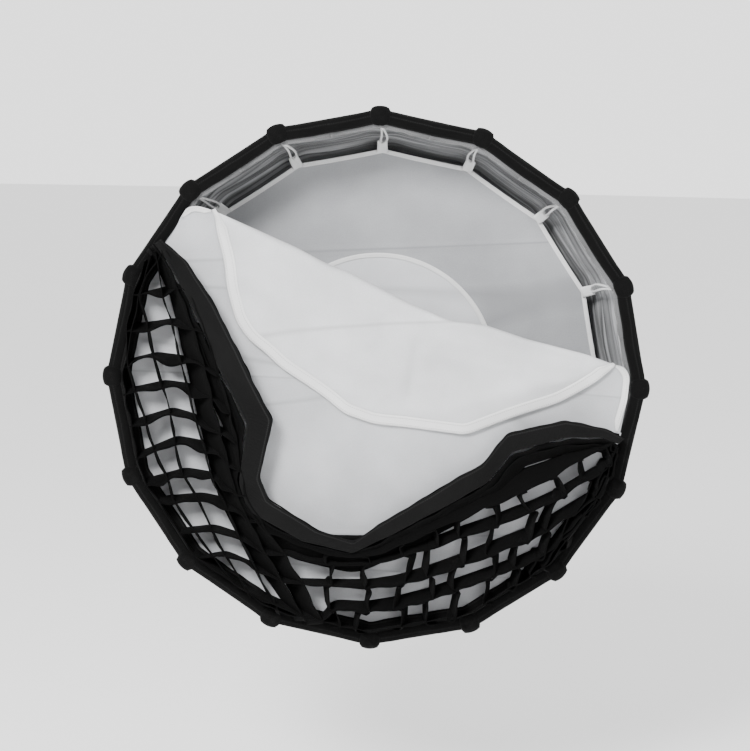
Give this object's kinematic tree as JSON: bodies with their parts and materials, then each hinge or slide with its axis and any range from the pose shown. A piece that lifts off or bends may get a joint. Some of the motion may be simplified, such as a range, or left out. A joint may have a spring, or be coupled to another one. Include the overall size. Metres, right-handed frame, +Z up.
{
  "type": "deep folding softbox with peeled diffuser and grid",
  "caption": "Deep many-sided folding softbox with a turning bayonet ring, hinged ribs, inner and outer diffusers and a fabric grid, the front layers half peeled.",
  "frame": {"origin": "centre of the mount ring's bore at its rear face, where the light seats", "axes": "+Y out of the back towards the light, -Y the way the softbox shines, +Z up, +X right as seen from the front"},
  "size_m": [0.914, 0.615, 0.914],
  "materials": {
    "cast_metal": "satin cast and turned",
    "lug_steel": "pressed, zinc plated",
    "black_anodised": "black satin",
    "hub_metal": "black textured powder coat",
    "screw_steel": "plated",
    "cuff_cloth": "black elastic cloth",
    "knob_plastic": "black moulded",
    "shell_cloth": "black woven cloth lined with silver",
    "rim_webbing": "black binding tape",
    "loop_tape": "light grey loop tape",
    "pocket_webbing": "black reinforced webbing",
    "inner_cloth": "white ripstop diffusion cloth",
    "white_binding": "white binding tape",
    "disc_cloth": "second layer of white cloth",
    "tab_tape": "white tape",
    "elastic_cord": "light grey elastic cord",
    "outer_cloth": "white diffusion cloth",
    "hem_tape": "white hook tape hem",
    "grid_cloth": "black grid cloth",
    "grid_tape": "black hook tape",
    "rib_steel": "spring steel",
    "shoe_plastic": "black moulded"
  },
  "bodies": {
    "mount_ring": {"bayonet_ring": "cast_metal", "bayonet_lugs": "lug_steel", "retaining_ring": "black_anodised", "retaining_screws": "screw_steel"},
    "hub": {"hub_ring": "hub_metal", "hinge_pins": "screw_steel", "hub_cuff": "cuff_cloth", "shell_panels": "shell_cloth", "rim_binding": "rim_webbing", "loop_tape": "loop_tape", "rib_pockets": "pocket_webbing", "elastic_loops": "elastic_cord"},
    "inner_layer": {"inner_diffuser": "inner_cloth", "inner_binding": "white_binding", "centre_disc": "disc_cloth", "disc_binding": "white_binding", "corner_tabs": "tab_tape"},
    "knob": {"lock_knob": "knob_plastic", "knob_stud": "screw_steel"},
    "front_diffuser": {"outer_diffuser": "outer_cloth", "diffuser_hem": "hem_tape"},
    "grid": {"grid_lattice": "grid_cloth", "grid_band": "grid_tape"},
    "rib_01_arm": {"rib_01": "rib_steel", "rib_shoe_01": "shoe_plastic"},
    "rib_02_arm": {"rib_02": "rib_steel", "rib_shoe_02": "shoe_plastic"},
    "rib_03_arm": {"rib_03": "rib_steel", "rib_shoe_03": "shoe_plastic"},
    "rib_04_arm": {"rib_04": "rib_steel", "rib_shoe_04": "shoe_plastic"},
    "rib_05_arm": {"rib_05": "rib_steel", "rib_shoe_05": "shoe_plastic"},
    "rib_06_arm": {"rib_06": "rib_steel", "rib_shoe_06": "shoe_plastic"},
    "rib_07_arm": {"rib_07": "rib_steel", "rib_shoe_07": "shoe_plastic"},
    "rib_08_arm": {"rib_08": "rib_steel", "rib_shoe_08": "shoe_plastic"},
    "rib_09_arm": {"rib_09": "rib_steel", "rib_shoe_09": "shoe_plastic"},
    "rib_10_arm": {"rib_10": "rib_steel", "rib_shoe_10": "shoe_plastic"},
    "rib_11_arm": {"rib_11": "rib_steel", "rib_shoe_11": "shoe_plastic"},
    "rib_12_arm": {"rib_12": "rib_steel", "rib_shoe_12": "shoe_plastic"},
    "rib_13_arm": {"rib_13": "rib_steel", "rib_shoe_13": "shoe_plastic"},
    "rib_14_arm": {"rib_14": "rib_steel", "rib_shoe_14": "shoe_plastic"},
    "rib_15_arm": {"rib_15": "rib_steel", "rib_shoe_15": "shoe_plastic"},
    "rib_16_arm": {"rib_16": "rib_steel", "rib_shoe_16": "shoe_plastic"}
  },
  "joints": [
    {"name": "softbox_turn", "type": "hinge", "parent": "mount_ring", "child": "hub", "pos_m": [0, -0.025, 0], "axis": [0, 1, 0], "continuous": true},
    {"name": "knob_turn", "type": "hinge", "parent": "hub", "child": "knob", "pos_m": [0.01561, -0.013, -0.07846], "axis": [0.1951, 0, -0.9808], "range_deg": [-360, 0]},
    {"name": "diffuser_off", "type": "slide", "parent": "hub", "child": "front_diffuser", "axis": [0, -1, 0], "range_m": [0, 0.4]},
    {"name": "grid_off", "type": "slide", "parent": "front_diffuser", "child": "grid", "axis": [0, -1, 0], "range_m": [0, 0.15]},
    {"name": "inner_diffuser_off", "type": "slide", "parent": "hub", "child": "inner_layer", "axis": [0, -1, 0], "range_m": [0, 0.34], "deforming": ["inner_diffuser", "inner_binding", "centre_disc", "disc_binding", "corner_tabs", "elastic_loops"]},
    {"name": "rib_01_fold", "type": "hinge", "parent": "hub", "child": "rib_01_arm", "pos_m": [0, -0.038, 0.08], "axis": [1, 0, 0], "range_deg": [0, 33]},
    {"name": "rib_02_fold", "type": "hinge", "parent": "hub", "child": "rib_02_arm", "pos_m": [0.03061, -0.038, 0.07391], "axis": [0.9239, 0, -0.3827], "range_deg": [0, 33]},
    {"name": "rib_03_fold", "type": "hinge", "parent": "hub", "child": "rib_03_arm", "pos_m": [0.05657, -0.038, 0.05657], "axis": [0.7071, 0, -0.7071], "range_deg": [0, 33]},
    {"name": "rib_04_fold", "type": "hinge", "parent": "hub", "child": "rib_04_arm", "pos_m": [0.07391, -0.038, 0.03061], "axis": [0.3827, 0, -0.9239], "range_deg": [0, 33]},
    {"name": "rib_05_fold", "type": "hinge", "parent": "hub", "child": "rib_05_arm", "pos_m": [0.08, -0.038, 0], "axis": [0, 0, -1], "range_deg": [0, 33]},
    {"name": "rib_06_fold", "type": "hinge", "parent": "hub", "child": "rib_06_arm", "pos_m": [0.07391, -0.038, -0.03061], "axis": [-0.3827, 0, -0.9239], "range_deg": [0, 33]},
    {"name": "rib_07_fold", "type": "hinge", "parent": "hub", "child": "rib_07_arm", "pos_m": [0.05657, -0.038, -0.05657], "axis": [-0.7071, 0, -0.7071], "range_deg": [0, 33]},
    {"name": "rib_08_fold", "type": "hinge", "parent": "hub", "child": "rib_08_arm", "pos_m": [0.03061, -0.038, -0.07391], "axis": [-0.9239, 0, -0.3827], "range_deg": [0, 33]},
    {"name": "rib_09_fold", "type": "hinge", "parent": "hub", "child": "rib_09_arm", "pos_m": [0, -0.038, -0.08], "axis": [-1, 0, 0], "range_deg": [0, 33]},
    {"name": "rib_10_fold", "type": "hinge", "parent": "hub", "child": "rib_10_arm", "pos_m": [-0.03061, -0.038, -0.07391], "axis": [-0.9239, 0, 0.3827], "range_deg": [0, 33]},
    {"name": "rib_11_fold", "type": "hinge", "parent": "hub", "child": "rib_11_arm", "pos_m": [-0.05657, -0.038, -0.05657], "axis": [-0.7071, 0, 0.7071], "range_deg": [0, 33]},
    {"name": "rib_12_fold", "type": "hinge", "parent": "hub", "child": "rib_12_arm", "pos_m": [-0.07391, -0.038, -0.03061], "axis": [-0.3827, 0, 0.9239], "range_deg": [0, 33]},
    {"name": "rib_13_fold", "type": "hinge", "parent": "hub", "child": "rib_13_arm", "pos_m": [-0.08, -0.038, 0], "axis": [0, 0, 1], "range_deg": [0, 33]},
    {"name": "rib_14_fold", "type": "hinge", "parent": "hub", "child": "rib_14_arm", "pos_m": [-0.07391, -0.038, 0.03061], "axis": [0.3827, 0, 0.9239], "range_deg": [0, 33]},
    {"name": "rib_15_fold", "type": "hinge", "parent": "hub", "child": "rib_15_arm", "pos_m": [-0.05657, -0.038, 0.05657], "axis": [0.7071, 0, 0.7071], "range_deg": [0, 33]},
    {"name": "rib_16_fold", "type": "hinge", "parent": "hub", "child": "rib_16_arm", "pos_m": [-0.03061, -0.038, 0.07391], "axis": [0.9239, 0, 0.3827], "range_deg": [0, 33]}
  ],
  "couplings": [
    {"joint": "inner_diffuser_off", "follows": "diffuser_off", "ratio": 0.85},
    {"joint": "rib_01_fold", "follows": "diffuser_off", "rad_per_m": 1.4398},
    {"joint": "rib_02_fold", "follows": "diffuser_off", "rad_per_m": 1.4398},
    {"joint": "rib_03_fold", "follows": "diffuser_off", "rad_per_m": 1.4398},
    {"joint": "rib_04_fold", "follows": "diffuser_off", "rad_per_m": 1.4398},
    {"joint": "rib_05_fold", "follows": "diffuser_off", "rad_per_m": 1.4398},
    {"joint": "rib_06_fold", "follows": "diffuser_off", "rad_per_m": 1.4398},
    {"joint": "rib_07_fold", "follows": "diffuser_off", "rad_per_m": 1.4398},
    {"joint": "rib_08_fold", "follows": "diffuser_off", "rad_per_m": 1.4398},
    {"joint": "rib_09_fold", "follows": "diffuser_off", "rad_per_m": 1.4398},
    {"joint": "rib_10_fold", "follows": "diffuser_off", "rad_per_m": 1.4398},
    {"joint": "rib_11_fold", "follows": "diffuser_off", "rad_per_m": 1.4398},
    {"joint": "rib_12_fold", "follows": "diffuser_off", "rad_per_m": 1.4398},
    {"joint": "rib_13_fold", "follows": "diffuser_off", "rad_per_m": 1.4398},
    {"joint": "rib_14_fold", "follows": "diffuser_off", "rad_per_m": 1.4398},
    {"joint": "rib_15_fold", "follows": "diffuser_off", "rad_per_m": 1.4398},
    {"joint": "rib_16_fold", "follows": "diffuser_off", "rad_per_m": 1.4398}
  ]
}
